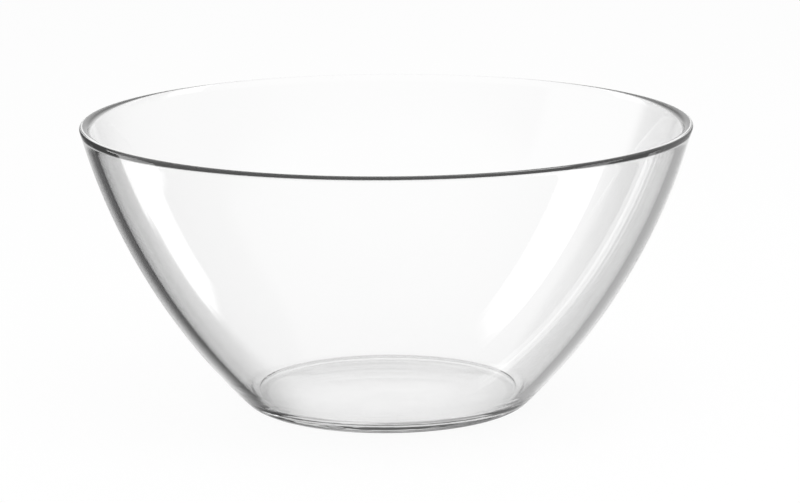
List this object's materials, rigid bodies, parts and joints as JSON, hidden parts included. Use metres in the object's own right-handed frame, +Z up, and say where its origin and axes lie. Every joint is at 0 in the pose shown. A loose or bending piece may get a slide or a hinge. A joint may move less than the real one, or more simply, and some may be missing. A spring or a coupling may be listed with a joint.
{
  "type": "glass bowl",
  "caption": "Round open bowl of clear glass with curved flaring walls, a rounded rim and a thick base with a slightly sunk floor, which rests on a narrow ring.",
  "frame": {"origin": "centre of the resting ring, at the level of the table", "axes": "+Z up along the bowl's axis, from the base to the rim; the bowl is round, so X and Y are interchangeable"},
  "size_m": [0.26, 0.26, 0.1222],
  "materials": {
    "clear_glass": "clear, smooth and glossy, fire-polished at the rim"
  },
  "bodies": {
    "root": {"glass_bowl": "clear_glass"}
  },
  "joints": []
}
